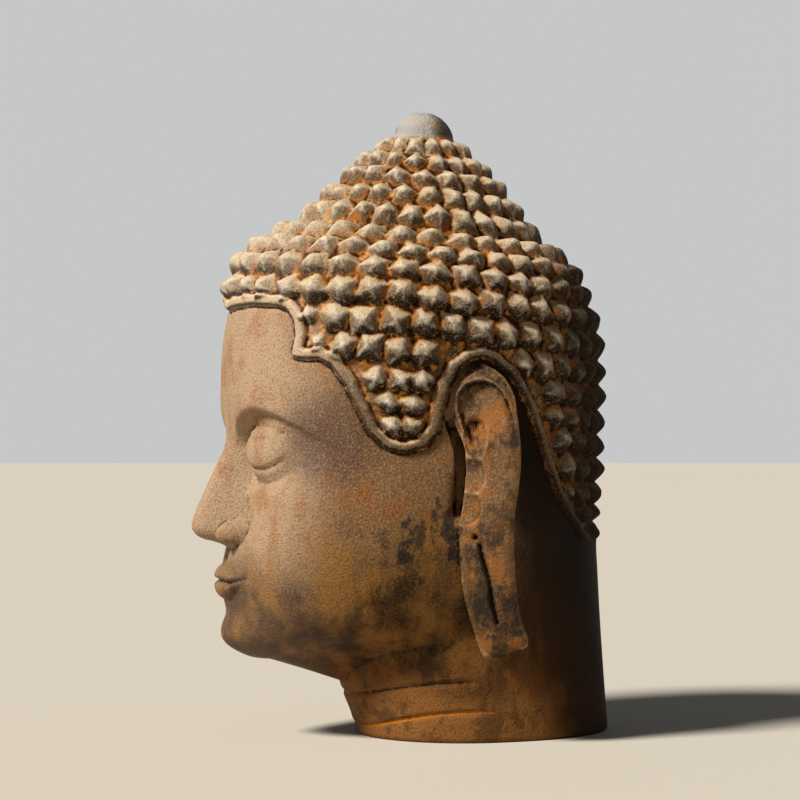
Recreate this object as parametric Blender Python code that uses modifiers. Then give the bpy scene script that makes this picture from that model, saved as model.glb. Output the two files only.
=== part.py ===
"""Head of a buddha on its own cut neck, cast in one piece in iron."""
import bpy
import bmesh
import numpy as np

MM = 0.001
SEED = 11

# size of the casting: over the ears, from the nose to the nape, from the base to the knob
WIDTH = 162.9
DEPTH = 205.4
HEIGHT = 300.0

# how finely the form is worked out, and how many triangles it keeps
HEAD_GRID = (420, 320)
NECK_GRID = (180, 120)
EAR_GRID = (120, 160)
VOXEL = 1.4
FACES = 9600

# Lengths from here on are drawn in millimetres on a head of this width, depth and height,
# and put() sets them to the size above.
DRAWN = (162.9, 205.4, 300.0)
CROWN = DRAWN[2]
PART = MM * np.array([WIDTH, DEPTH, HEIGHT]) / DRAWN

# end of the neck inside the head
NECK_TOP = 121.0
# level up to which the head takes up the swing of the jaw
JAW_BLEND = 112.0
# underside of the jaw: its length to the middle, and its height there
UNDERJAW = 62.0
UNDERJAW_LOW = 13.0
# curls: height, how far one may run over the bead, and the least share of one that is made
CURL_TALL = 7.0
CURL_OVER = 1.8
CURL_LEAST = 0.5
# bead along the hairline
BEAD_WIDE = 5.6
BEAD_PROUD = 2.4
# smooth knob on the crown
KNOB_BASE = 287.0
# mean half width of the head, by which turns are measured along the surface
HALF_WIDE = 81.0
# the oval is squarer below this level, by this much
SQUARE_BELOW = 190.0
SQUARE = 0.28
# rounding of the jaw's edge, and how far it draws in
JAW_ROUND = 11.0
JAW_INSET = 9.0
# the rows of hair rise towards the front by this slope, from this level up
HAIR_LEAN = np.tan(np.radians(5.3))
LEAN_FROM = 90.0
LEAN_OVER = 60.0

# the face is parted in three from the hairline down, and is five eyes wide
HAIRLINE_Z = 206.0
THIRD = 56.0
BROW_Z = HAIRLINE_Z - THIRD
NOSE_Z = BROW_Z - THIRD
CHIN_Z = NOSE_Z - THIRD
EYE_WIDE = 28.0
EYE_X = EYE_WIDE
EYE_Z = BROW_Z - 15.5
MOUTH_HALF = 22.0
# closed lid over the eye: how proud, half width, half height; and how deep its edge is sunk
LID_BALL = (8.2, 19.0, 14.5)
LID_SUNK = 5.6
# end of the nose: how proud, distance to the side, height, half width, half height
NOSE_TIP = (23.2, 0.0, NOSE_Z + 7.2, 9.6, 8.4)
NOSE_WING = (13.4, 10.6, NOSE_Z + 4.6, 5.6, 6.4)
NOSTRIL = (5.0, 5.6, NOSE_Z + 0.6, 2.5, 1.5)

# oval of the head: level, centre y, front half depth, back half depth, half width
SECTIONS = [
    (36, -36.2, 79.0, 62.0, 40.0), (46, -36.2, 85.0, 74.0, 47.5),
    (60, -36.2, 87.4, 82.0, 56.5), (75, -36.2, 87.6, 86.0, 62.0),
    (90, -36.2, 86.0, 87.5, 66.0), (107, -36.2, 82.6, 87.8, 69.2),
    (117, -36.2, 82.0, 88.2, 69.9), (125, -36.2, 82.9, 88.6, 70.0),
    (134, -36.2, 85.3, 89.0, 69.7), (142, -36.2, 88.1, 89.4, 69.3),
    (152, -36.2, 90.3, 89.8, 69.3), (167, -36.2, 91.0, 90.2, 70.0),
    (182, -36.2, 90.3, 90.1, 71.2), (196, -36.2, 88.0, 89.0, 72.0),
    (208.8, -36.0, 86.0, 86.5, 71.2), (220.1, -35.3, 81.6, 81.8, 67.6),
    (229.5, -32.7, 73.5, 73.5, 61.2), (236.9, -31.1, 61.9, 61.9, 52.4),
    (246.5, -31.1, 50.6, 50.6, 45.0), (256.3, -29.9, 42.7, 42.7, 38.0),
    (264.6, -29.6, 35.3, 35.3, 31.6), (272.8, -29.3, 28.1, 28.1, 25.4),
    (280.2, -29.2, 20.0, 20.0, 18.6), (284.6, -29.2, 16.4, 16.4, 15.6),
    (287.8, -29.2, 14.2, 14.2, 13.9), (290.4, -29.2, 13.7, 13.7, 13.5),
    (293.4, -29.2, 12.3, 12.3, 12.2), (296.4, -29.2, 9.8, 9.8, 9.8),
    (298.5, -29.2, 6.7, 6.7, 6.7), (CROWN - 0.4, -29.2, 3.4, 3.4, 3.4),
    (CROWN, -29.2, 0.0, 0.0, 0.0)]

# rows of curls from the nape to the knob: level, curls in the whole ring, share of a step
# by which the first is turned from the brow; low rows stand behind the ears alone
ROWS = [
    (98.0, 40, 0.5), (109.2, 40, 0.75), (119.9, 42, 0.15), (134.4, 40, 0.33),
    (147.4, 42, 0.64), (158.4, 44, 0.97), (169.6, 36, 0.03), (181.6, 42, 0.53),
    (194.3, 38, 0.51), (206.8, 36, 0.38), (218.2, 34, 0.0), (226.9, 32, 0.7),
    (233.9, 28, 0.29), (244.6, 26, 0.13), (254.7, 23, 0.11), (263.9, 18, 0.8),
    (272.6, 17, 0.2), (281.1, 15, 0.69)]
LOW_ROWS = 175.0
BEHIND_EARS = 95.0
# small curls in front of each ear: turn in degrees, level
SIDEBURN = [(70.5, 167.8), (76.8, 167.8), (82.4, 168.2), (74.2, 156.4), (80.6, 156.8),
            (75.5, 146.1), (80.8, 147.3)]
SIDEBURN_HALF = 5.4
# curls: half size as a share of the step and of the row's height, share of facet against
# cone, bluntness of the tip, fullness of the sides, and how far one may sit askew
CURL_HALF = (0.565, 0.59)
FACET = 0.92
BLUNT = 0.004
FULL = 1.25
ASKEW = 0.5

# hairline from the middle of the brow to the nape: turn in degrees, level
HAIRLINE = [
    (0, 197.6), (8, 199.0), (20, 200.2), (33, 200.2), (38.5, 198.2), (42.2, 192.5),
    (43.9, 184.5), (43.6, 176.4), (47.0, 176.2), (52.0, 177.0), (57.5, 173.5),
    (63.2, 164.6), (67.0, 153.7), (69.8, 144.0), (73.8, 138.4), (78.2, 137.2),
    (82.8, 139.8), (86.0, 147.4), (87.2, 157.9), (88.4, 168.0), (90.8, 176.8),
    (95.0, 182.3), (99.5, 184.4), (104.2, 182.7), (109.5, 176.8), (113.6, 170.4),
    (117.5, 162.1), (122.2, 147.4), (126.2, 133.9), (131.4, 119.6), (138.0, 109.0),
    (148.0, 98.0), (163.0, 90.6), (180.0, 88.4)]

# lower edge of the jaw: turn in degrees, height
JAW = [(0, CHIN_Z), (20, 39.0), (40, 43.0), (60, 47.5), (80, 50.0), (100, 51.0),
       (180, 52.0)]

# soft masses of the face: how proud, distance to the side, height, half width, half height
CHEEKBONE = (3.0, 43.0, 113.0, 19.0, 17.0)
MASSES = [CHEEKBONE, (2.0, 38.0, 84.0, 17.0, 17.0), (4.6, 0.0, 79.0, 25.0, 19.0),
          (6.6, 0.0, CHIN_Z + 9.5, 17.0, 12.0), (-1.6, 0.0, CHIN_Z + 22.5, 15.0, 4.2)]

# lines drawn on the face: distance to the side, height
BROW = [(0, 138.5), (6, 141.5), (12, 148.0), (20, 154.2), (30, 157.6), (40, 156.4),
        (48, 152.0), (56, 145.0), (64, 136.0)]
LID = [(8, 134.5), (13.5, 133.2), (18, 131.4), (26, 129.6), (33, 130.2), (39, 132.8),
       (43.5, 136.0), (50, 139.0)]
UPPER_LIP = [(0, 81.4), (2.2, 82.0), (5.0, 82.9), (9.0, 82.0), (14.0, 80.4),
             (19.0, 78.6), (22.5, 77.6), (26.0, 77.6)]
LIP_LINE = [(0, 74.9), (4.0, 75.4), (8.0, 75.2), (13.0, 74.8), (18.0, 75.8),
            (22.5, 77.4), (26.0, 79.0)]
LOWER_LIP = [(0, 66.4), (5.0, 66.5), (10.0, 67.6), (15.0, 70.2), (19.0, 73.6),
             (22.5, 77.2), (26.0, 77.6)]
# depth of the eye hollow by distance to the side
HOLLOW = [(0, 0.0), (7, 2.0), (13, 7.4), (20, 6.4), (30, 4.6), (42, 3.4), (52, 2.0),
          (60, 0.7), (66, 0.0)]
# nose by height: how proud the ridge is, and its half width
NOSE_RIDGE = [(87, 0.0), (90.0, 2.2), (92.0, 6.0), (94.2, 12.6), (96.4, 18.2),
              (98.8, 21.6), (101.8, 23.4), (105.0, 23.3), (110.0, 22.0), (120.0, 18.0),
              (130.0, 12.4), (140.0, 5.8), (150.0, 2.4), (160.0, 0.6), (170.0, 0.0)]
NOSE_HALF = [(88, 15.0), (95, 15.5), (100, 15.5), (107, 14.5), (120, 12.5),
             (132, 11.0), (142, 11.5), (150, 14.0), (160, 18.0), (170, 22.0)]

# outline of the ear: height, front edge, back edge along the ear's own plane
EAR = [(42.6, -1.7, 18.2), (45.5, -3.0, 18.6), (50.0, -5.0, 17.8), (59.0, -8.2, 15.4),
       (68.0, -10.8, 13.6), (78.0, -12.6, 12.5), (90.0, -13.4, 11.8), (105.0, -13.5, 11.7),
       (112.0, -12.2, 12.6), (120.0, -11.2, 13.8), (130.0, -10.5, 14.8),
       (137.5, -10.9, 14.9), (142.5, -12.4, 14.6), (149.0, -15.4, 13.9),
       (156.0, -17.9, 13.0), (162.0, -19.0, 12.2), (167.0, -18.6, 10.2),
       (171.5, -16.6, 7.2), (175.0, -12.4, 3.0), (177.4, -6.2, -2.4)]
# how far the ear's plane stands out from the middle of the head, by height
EAR_OUT = [(36, 66.0), (45, 67.4), (60, 70.6), (80, 74.2), (110, 76.8), (140, 77.4),
           (160, 76.6), (178, 74.6)]
EAR_FLARE = np.radians(22.0)
EAR_THICK = 5.6
# root that joins the ear to the head: its depth, and the level from which it starts
EAR_ROOT = 19.0
ROOT_LOW = 44.5
# wall that the carving always leaves behind it
EAR_LEAST = 1.9
LOBE_CUT = 60.0
LOBE_SLANT = 0.29
# border of the hollow at the top of the ear, round to the pit below it: along the ear, height
DISH = [(-6.0, 134.6), (-8.6, 139.0), (-10.6, 144.0), (-12.8, 150.0), (-14.4, 156.0),
        (-14.6, 161.0), (-13.6, 165.0), (-10.4, 168.6), (-6.2, 170.2), (-1.6, 170.4),
        (3.0, 168.8), (6.8, 165.2), (9.6, 160.8), (12.0, 154.0), (13.6, 147.0)]
# chiselled scoops down the front edge: along the ear, height, half width, half height, depth
SCOOPS = [(-6.2, 143.6, 5.4, 9.8, 3.6), (-8.0, 126.4, 6.6, 8.8, 3.6),
          (-10.2, 111.4, 7.0, 8.0, 3.6)]
# bevel round the ear: how far it falls, over what width, and what the top adds to each
BEVEL = (0.9, 3.2)
BEVEL_TOP = (3.6, 3.4)
# rim of the hollow at the top: how proud, and how softly it fades outward
RIM = (1.8, 3.0)
# hollow: its depth all over, what the deepest place adds, and the width of its wall
HOLLOW_DEEP = (1.6, 2.6)
HOLLOW_WALL = 1.3
# deepest place of the hollow: along the ear, height, half width, half height
HOLLOW_PLACE = (-8.0, 154.0, 9.0, 15.0)
# ridge beside the pit: how proud, half width
RIDGE = (1.5, 1.5)
# cut of the slit: depth, half width; and its lips: how far they swell, half width
SLIT_CUT = (3.4, 1.15)
SLIT_LIPS = (0.5, 3.4)
# slit of the lobe: height, place along the ear; and the small hole above it
SLIT = [(57.0, 4.7), (66.0, 2.4), (77.8, 0.6), (89.3, -2.7), (96.2, -4.2)]
HOLE = (-5.9, 97.6)
# channel between the cheek and the front edge of the ear
CHANNEL_LOW, CHANNEL_HIGH = 104.0, 156.0
CHANNEL_WIDE = 3.2
CHANNEL_DEEP = 7.5

# neck: height, front edge, back edge, half width; it runs on below the ground to be cut
NECK = [(-8, -62.0, 63.0, 51.0), (0, -62.0, 62.6, 51.0), (10, -64.5, 61.8, 50.4),
        (20, -68.6, 61.0, 50.0), (30, -71.5, 60.2, 50.2), (45, -74.0, 59.0, 51.5),
        (65, -72.0, 57.6, 54.0), (85, -62.0, 56.4, 56.5), (100, -50.0, 54.0, 54.0),
        (115, -30.0, 40.0, 40.0), (120, -6.0, 6.0, 6.0), (NECK_TOP, 0.0, 0.0, 0.0)]
NECK_MIDDLE = -12.0
FOOT_ROUND = 2.4
# folds across the throat: height in front, rise to the side, depth, turn where it ends
FOLDS = [(20.5, 8.0, 1.5, 92.0), (4.6, 9.6, 1.7, 98.0)]


def smooth(t):
    t = np.clip(t, 0.0, 1.0)
    return t * t * (3.0 - 2.0 * t)


def curve(x, rows, col=1):
    """Smooth curve through column col of a table whose first column rises."""
    t = np.array([r[0] for r in rows], float)
    v = np.array([r[col] for r in rows], float)
    s = np.gradient(v, t)
    x = np.clip(x, t[0], t[-1])
    i = np.clip(np.searchsorted(t, x, side="right") - 1, 0, len(t) - 2)
    h = t[i + 1] - t[i]
    u = (x - t[i]) / h
    return ((2 * u**3 - 3 * u**2 + 1) * v[i] + (u**3 - 2 * u**2 + u) * h * s[i]
            + (3 * u**2 - 2 * u**3) * v[i + 1] + (u**3 - u**2) * h * s[i + 1])


def bell(x, z, cx, cz, rx, rz):
    """Soft swelling of height 1."""
    return np.exp(-((x - cx) / rx)**2 - ((z - cz) / rz)**2)


def dome(x, z, cx, cz, rx, rz, power):
    """Rounded boss of height 1 with a clear edge."""
    return np.clip(1.0 - ((x - cx) / rx)**2 - ((z - cz) / rz)**2, 0.0, None)**power


def groove(distance, half):
    return np.exp(-(distance / half)**2)


def soft_max(a, b, k):
    """The larger of two, with the corner between them rounded over k."""
    h = np.clip(0.5 + 0.5 * (a - b) / k, 0.0, 1.0)
    return b * (1 - h) + a * h + k * h * (1 - h)


def rounding(gap, radius):
    """How far a rounded edge falls back at a distance gap from the edge."""
    s = 1.0 - np.clip(gap / radius, 0.0, 1.0)
    return 1.0 - np.sqrt(np.clip(1.0 - s * s, 0.0, 1.0))


def path_distance(u, v, pu, pv):
    """Least distance from points to an open line of straight pieces."""
    best = np.full(u.shape, 1e9)
    for a, b, c, d in zip(pu[:-1], pv[:-1], pu[1:], pv[1:]):
        du, dv = c - a, d - b
        t = np.clip(((u - a) * du + (v - b) * dv) / (du * du + dv * dv), 0.0, 1.0)
        best = np.minimum(best, np.hypot(u - a - t * du, v - b - t * dv))
    return best


def eye_depth(side, z, d):
    """Brow edge, eye hollow and closed lids added to the face depth d."""
    below = curve(side, BROW) - z
    d = d - curve(side, HOLLOW) * smooth((below + 0.6) / 5.2) * smooth((z - 116.0) / 16.0)
    edge = groove(np.minimum(below + 1.0, 0.0), 9.0) * smooth((6.0 - below) / 5.0)
    d = d + 1.5 * edge * smooth((62.0 - side) / 14.0) * smooth((side - 4.0) / 8.0)
    ball = LID_BALL[0] * dome(side, z, EYE_X, EYE_Z, *LID_BALL[1:], 0.62) - LID_SUNK
    d = soft_max(d, ball + 1.6 * bell(side, z, *CHEEKBONE[1:]), 1.6)
    over = z - curve(side, LID)
    wide = smooth((side - 12.0) / 3.5) * smooth((44.5 - side) / 4.5)
    d = d + 0.95 * wide * smooth((over + 0.5) / 0.9) * smooth((11.0 - over) / 9.0)
    d = d - 1.0 * wide * groove(over + 0.9, 0.95)
    d = d + 0.5 * wide * groove(over + 4.2, 2.0)
    crease = smooth((side - 14.0) / 5.0) * smooth((46.0 - side) / 7.0)
    return d - 0.7 * crease * groove(over - 12.5, 1.3)


def nose_depth(side, z, d):
    across = 1.0 - smooth((side / curve(z, NOSE_HALF) - 0.16) / 0.84)
    nose = curve(z, NOSE_RIDGE) * across
    tip = NOSE_TIP[0] * dome(side, z, *NOSE_TIP[1:], 0.42)
    wing = NOSE_WING[0] * dome(side, z, *NOSE_WING[1:], 0.45)
    nose = soft_max(nose, tip * smooth((z - 91.6) / 3.2), 1.4)
    nose = soft_max(nose, wing * smooth((z - 91.4) / 2.6), 1.2)
    d = np.where(nose > 0.02, soft_max(d, d * (1 - across) + nose, 1.0), d)
    d = d - NOSTRIL[0] * bell(side, z, *NOSTRIL[1:])
    return d - 0.8 * bell(side, z, 16.8, 99.5, 1.6, 5.5)


def lip_depth(side, z, d):
    upper, line, lower = (curve(side, p) for p in (UPPER_LIP, LIP_LINE, LOWER_LIP))
    taper = smooth((MOUTH_HALF + 1.2 - side) / 9.0)
    tu = (z - line) / np.maximum(upper - line, 0.4)
    tl = (line - z) / np.maximum(line - lower, 0.4)
    up = np.where((tu > 0) & (tu < 1), 1.0 - (2 * tu - 0.85)**2 * 0.62, 0.0)
    low = np.where((tl > 0) & (tl < 1), 1.0 - (2 * tl - 0.95)**2 * 0.75, 0.0)
    d = d + (3.5 * np.maximum(up, 0.0) + 3.7 * np.maximum(low, 0.0)) * taper
    d = d - 1.9 * groove(z - line, 0.9) * smooth((MOUTH_HALF + 1.6 - side) / 3.0)
    d = d - 0.9 * bell(side, z, MOUTH_HALF + 1.4, 77.6, 2.2, 2.2)
    d = d - 1.1 * bell(side, z, 0.0, 88.0, 2.3, 4.6)
    return d + 0.5 * bell(side, z, 4.2, 87.0, 1.5, 4.6)


def face_depth(x, z):
    """How far the face stands forward of the plain oval."""
    side = np.abs(x)
    d = sum(m[0] * bell(side, z, *m[1:]) for m in MASSES)
    for part in (eye_depth, nose_depth, lip_depth):
        d = part(side, z, d)
    return d


def degrees_off_front(theta):
    return np.degrees(np.abs(theta))


def meridian():
    """Levels of the head and the running length up to each of them."""
    level = np.linspace(SECTIONS[0][0], SECTIONS[-1][0], 1200)
    radius = 0.5 * (curve(level, SECTIONS, 2) + curve(level, SECTIONS, 4))
    step = np.hypot(np.diff(level), np.diff(radius))
    return level, np.concatenate([[0.0], np.cumsum(step)])


def ring_length(level):
    """Turns round the ring at a level and the running length along it."""
    th = np.linspace(0, 2 * np.pi, 721)
    deep = np.where(np.cos(th) > 0, curve(level, SECTIONS, 2), curve(level, SECTIONS, 3))
    x, y = curve(level, SECTIONS, 4) * np.sin(th), deep * np.cos(th)
    return th, np.concatenate([[0.0], np.cumsum(np.hypot(np.diff(x), np.diff(y)))])


def curl_spots():
    """Every curl of the hair: its level, its turn, and its half width and half height."""
    levels, length = meridian()
    runs = [float(np.interp(row[0], levels, length)) for row in ROWS]
    spots = []
    for k, (level, count, first) in enumerate(ROWS):
        th, arc = ring_length(level)
        step = arc[-1] / count
        high = float(np.mean(np.diff(runs[max(k - 1, 0):k + 2])))
        for place in (np.arange(count) + first) * step:
            turn = float(np.interp(place, arc, th))
            if level > LOW_ROWS or abs(np.degrees(turn) - 180.0) < 180.0 - BEHIND_EARS:
                spots.append((level, turn, CURL_HALF[0] * step, CURL_HALF[1] * high))
    for deg, level in SIDEBURN:
        for turn in (np.radians(deg), np.radians(360.0 - deg)):
            spots.append((level, turn, SIDEBURN_HALF, SIDEBURN_HALF))
    return spots


def curl(du, dv, rng):
    """Height of one curl of radius 1: a blunt pyramid, its sides and its tip a little uneven."""
    sides = int(rng.integers(4, 6))
    facing = rng.uniform(0, 2 * np.pi) + 2 * np.pi * np.arange(sides) / sides
    reach = rng.uniform(0.90, 1.08, sides)
    tu, tv = rng.uniform(-0.18, 0.18, 2)
    flat = np.zeros(du.shape)
    for a, r in zip(facing, reach):
        nu, nv = np.cos(a), np.sin(a)
        flat = np.maximum(flat, ((du - tu) * nu + (dv - tv) * nv) / (r - tu * nu - tv * nv))
    d = FACET * flat + (1.0 - FACET) * np.hypot(du - tu, dv - tv)
    return np.maximum(1.0 - (d * d + BLUNT)**(0.5 * FULL), 0.0)


def curls(theta, run, levels, length):
    """Height of the curls above the scalp; each one has room inside the bead or is left out."""
    rng = np.random.default_rng(SEED)
    out = np.zeros(theta.shape)
    for level, turn, wide, high in curl_spots():
        at = float(np.interp(level, levels, length)) + rng.uniform(-ASKEW, ASKEW)
        turn = turn + rng.uniform(-ASKEW, ASKEW) / HALF_WIDE
        tall = CURL_TALL * min(1.0, min(wide, high) / CURL_TALL) * rng.uniform(0.92, 1.06)
        deg = abs(np.degrees((turn + np.pi) % (2 * np.pi) - np.pi))
        inside = hairline_side(np.array([deg]), np.array([at]), np.array([level]), levels, length)[0]
        fit = min(1.0, (inside - 0.5 * BEAD_WIDE + CURL_OVER) / min(wide, high))
        if fit < CURL_LEAST:
            continue
        sag = curve(level, SECTIONS, 2 if deg < 90.0 else 3) * np.sin(turn)
        around = np.hypot(curve(level, SECTIONS, 4) * np.cos(turn), sag)
        du = ((theta - turn + np.pi) % (2 * np.pi) - np.pi) * around / (wide * fit)
        dv = (run - at) / (high * fit)
        near = np.nonzero(np.maximum(np.abs(du), np.abs(dv)) < 1.25)
        out[near] = np.maximum(out[near], tall * fit * curl(du[near], dv[near], rng))
    return out


def hairline_side(deg, run, level, levels, length):
    """Distance inside the hairline, below 0 on the skin."""
    turn = [p[0] for p in HAIRLINE]
    line = [p[1] for p in HAIRLINE]
    around = np.radians(HALF_WIDE)
    side = path_distance(deg * around, run, np.array(turn) * around,
                         np.interp(line, levels, length))
    return np.where(level > np.interp(deg, turn, line), side, -side)


def hair_relief(theta, run, level, levels, length):
    """Height of the bead and the curls, and the distance inside the hairline."""
    deg = degrees_off_front(theta)
    side = hairline_side(deg, run, level, levels, length)
    half = 0.5 * BEAD_WIDE - 0.5 * smooth((deg - 62.0) / 26.0)
    bead = BEAD_PROUD * np.clip(1.0 - np.abs(side / half)**3, 0.0, None)**0.6
    bead -= 1.3 * groove(side + half + 0.6, 0.75) + 0.8 * groove(side - half - 0.7, 0.8)
    knob = smooth((KNOB_BASE - level) / 2.4)
    return bead + knob * curls(theta, run, levels, length), side


def head_points(theta, t):
    """Plain head by turn and share of the way from the throat to the knob, and its relief."""
    levels, length = meridian()
    s = t * (UNDERJAW + length[-1])
    under = np.clip(s / UNDERJAW, 0.0, 1.0)
    run = np.maximum(s - UNDERJAW, 0.0)
    jaw = curve(degrees_off_front(theta), JAW)
    blend = float(np.interp(JAW_BLEND, levels, length))
    level = np.where(run < blend, jaw + (JAW_BLEND - jaw) * np.minimum(run / blend, 1.0),
                     np.interp(run, length, levels))
    c, sn = np.cos(theta), np.sin(theta)
    square = SQUARE * smooth((SQUARE_BELOW - level) / 30.0) * smooth((c + 0.2) / 0.5)
    power = 2.0 / (2.0 + square)
    c, sn = np.sign(c) * np.abs(c)**power, np.sign(sn) * np.abs(sn)**power
    inset = JAW_INSET * rounding(level - jaw, JAW_ROUND)
    inset = inset * smooth((90.0 - degrees_off_front(theta)) / 45.0)
    deep = np.where(c > 0, curve(level, SECTIONS, 2), curve(level, SECTIONS, 3)) - inset
    x = (curve(level, SECTIONS, 4) - inset) * sn * under
    y = curve(level, SECTIONS, 1) - deep * c * under
    lean = HAIR_LEAN * smooth((level - LEAN_FROM) / LEAN_OVER)
    z = level + lean * deep * c
    hollow = jaw * under + UNDERJAW_LOW * (1.0 - under) + 4.0 * under * (1.0 - under)
    z = np.where(under < 1.0, hollow, z)
    face = smooth((np.cos(theta) - 0.05) / 0.25) * (under >= 1.0)
    y = y - face_depth(x, z) * face
    x = x - np.sign(x) * ear_channel(np.abs(x), y, z)
    relief, side = hair_relief(theta, np.interp(level, levels, length), level, levels, length)
    return x, y, z, np.where(under < 1.0, 0.0, relief), np.where(under < 1.0, -40.0, side)


def ear_middle(v):
    """Where the middle line of the ear's plane stands at a height: out, and forward or back."""
    out = curve(v, EAR_OUT)
    return out, (0.5 - 0.2588 * out) / 0.9659


def ear_channel(side, y, z):
    """Depth of the channel in front of the ear; it runs on under the ear's front edge."""
    low, front = [p[0] for p in EAR], [p[1] for p in EAR]
    behind = y - ear_middle(z)[1] - np.interp(z, low, front) * np.cos(EAR_FLARE)
    deep = smooth((z - CHANNEL_LOW) / 6.0) * smooth((CHANNEL_HIGH - z) / 10.0)
    across = smooth((behind + CHANNEL_WIDE + 0.6) / 1.4) * smooth((9.0 - behind) / 4.0)
    return CHANNEL_DEEP * deep * across * (side > 40.0)


def ear_relief(u, v):
    """Carving on the face of the ear above its plane."""
    low, front, back = (np.array(c) for c in zip(*EAR))
    edge = path_distance(u, v, np.concatenate([front, back[::-1], front[:1]]),
                         np.concatenate([low, low[::-1], low[:1]]))
    # broad bevel round the top, falling from the border of the hollow to the edge
    du, dv = (np.array(c) for c in zip(*DISH))
    border = path_distance(u, v, du, dv)
    within = in_outline(u, v, du, dv)
    top = smooth((v - 126.0) / 26.0)
    fall, wide = (a + b * top for a, b in zip(BEVEL, BEVEL_TOP))
    w = -fall * (1.0 - smooth(edge / wide))
    rim = RIM[0] * top * np.exp(-border / RIM[1])
    open_side = path_distance(u, v, du[[0, -1]], dv[[0, -1]])
    wall = smooth(border / HOLLOW_WALL) * smooth(open_side / 14.0)
    bowl = HOLLOW_DEEP[0] + HOLLOW_DEEP[1] * bell(u, v, *HOLLOW_PLACE)
    w += rim - np.where(within, (bowl + rim) * wall, 0.0)
    # ridge beside the pit, and the chiselled scoops below it
    slant = u + 1.6 + 0.22 * (v - 140.0)
    w += RIDGE[0] * groove(slant, RIDGE[1]) * bell(u, v, -2.0, 141.5, 9.0, 8.6)
    for su, sv, wide, tall, deep in SCOOPS:
        w -= deep * dome(u, v, su, sv, wide, tall, 0.36) * smooth((sv + tall - v) / 3.0)
    # slit of the lobe and the small hole above it
    line = np.interp(v, [p[0] for p in SLIT], [p[1] for p in SLIT])
    ends = smooth((SLIT[-1][0] + 1.0 - v) / 4.0) * smooth((v - SLIT[0][0] + 1.5) / 3.0)
    for deep, half, way in ((*SLIT_LIPS, 1.0), (*SLIT_CUT, -1.0)):
        w += way * deep * ends * groove(u - line, half)
    return w - 3.0 * bell(u, v, *HOLE, 1.4, 1.4)


def in_outline(u, v, pu, pv):
    """Whether points lie inside a closed outline."""
    inside = np.zeros(u.shape, bool)
    for a, b, c, d in zip(pu, pv, np.roll(pu, -1), np.roll(pv, -1)):
        if d != b:
            crossed = ((b > v) != (d > v)) & (u < a + (c - a) * (v - b) / (d - b))
            inside ^= crossed
    return inside


def ear_points(theta, t):
    """Left ear, its carved face outward and its root running into the head."""
    low, front, back = (np.array(c) for c in zip(*EAR))
    end = 0.1
    v = low[0] + (low[-1] - low[0]) * np.interp(t, [end, 0.86, 1.0], [0.0, 0.93, 1.0])
    fr, bk = np.interp(v, low, front), np.interp(v, low, back)
    half = 0.5 * (bk - fr) * np.minimum(t / end, 1.0)
    c, s = np.cos(theta), np.sin(theta)
    u = 0.5 * (fr + bk) + half * np.sign(s) * np.abs(s)**0.8
    wall = np.abs(c)**0.35
    root = smooth((np.minimum(u - fr, bk - u) - 3.2) / 2.6) * smooth((v - ROOT_LOW) / 4.0)
    middle = -0.5 * EAR_THICK
    face = np.maximum(ear_relief(u, v), EAR_LEAST - EAR_THICK - EAR_ROOT * root)
    inner = (-EAR_THICK - EAR_ROOT * root - middle) * wall
    w = middle + np.where(c > 0, (face - middle) * wall, inner)
    # the lobe is cut on a slant, and its cut face is bevelled inward
    cut = smooth((LOBE_CUT - v) / 16.0)
    z = v + cut * (LOBE_SLANT * (u + 1.5) + 0.5 * np.clip(w, -12.0, 0.0))
    out, y0 = ear_middle(v)
    x = out + u * np.sin(EAR_FLARE) + w * np.cos(EAR_FLARE)
    y = y0 + u * np.cos(EAR_FLARE) - w * np.sin(EAR_FLARE)
    return x, y, z


def neck_points(theta, t):
    """Neck from below the ground up into the head, with its two folds."""
    end = 0.08
    z = NECK[0][0] + (NECK_TOP - NECK[0][0]) * np.clip((t - end) / (1.0 - end), 0.0, 1.0)
    deg = degrees_off_front(theta)
    inset = FOOT_ROUND * rounding(z, FOOT_ROUND)
    for low, rise, depth, last in FOLDS:
        line = low + rise * smooth(deg / 80.0)
        inset = inset + depth * groove(z - line, 1.1) * smooth((last - deg) / 20.0)
    c, s = np.cos(theta), np.sin(theta)
    deep = np.where(c > 0, NECK_MIDDLE - curve(z, NECK, 1), curve(z, NECK, 2) - NECK_MIDDLE)
    spread = np.minimum(t / end, 1.0)
    x = (curve(z, NECK, 3) - inset) * s * spread
    return x, NECK_MIDDLE - (deep - inset) * c * spread, z


def read(me, what):
    values = np.empty(len(me.vertices) * 3)
    me.vertices.foreach_get(what, values)
    return values.reshape(-1, 3)


def put(me, x, y, z):
    me.vertices.foreach_set("co", (np.stack([x, y, z], -1) * PART).ravel())
    me.update()


def shell(name, around, up):
    """A sheet rolled to a tube of height 1 and drawn shut at both ends."""
    bpy.ops.mesh.primitive_grid_add(x_subdivisions=around, y_subdivisions=up, size=2.0)
    ob = bpy.context.object
    ob.name = name
    me = ob.data
    co = read(me, "co")
    turn, t = np.pi * co[:, 0], 0.5 + 0.5 * co[:, 1]
    open_end = (t > 1e-5) & (t < 1 - 1e-5)
    ring = np.stack([np.sin(turn) * open_end, -np.cos(turn) * open_end, t], -1)
    me.vertices.foreach_set("co", ring.ravel())
    bm = bmesh.new()
    bm.from_mesh(me)
    bmesh.ops.remove_doubles(bm, verts=bm.verts[:], dist=0.00001)
    bm.to_mesh(me)
    bm.free()
    co = read(me, "co")
    return ob, np.arctan2(co[:, 0], -co[:, 1]), co[:, 2]


def make_head():
    ob, theta, t = shell("head", *HEAD_GRID)
    x, y, z, relief = head_points(theta, t)[:4]
    put(ob.data, x, y, z)
    out = read(ob.data, "normal")
    put(ob.data, x + out[:, 0] * relief, y + out[:, 1] * relief, z + out[:, 2] * relief)
    return ob


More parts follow.
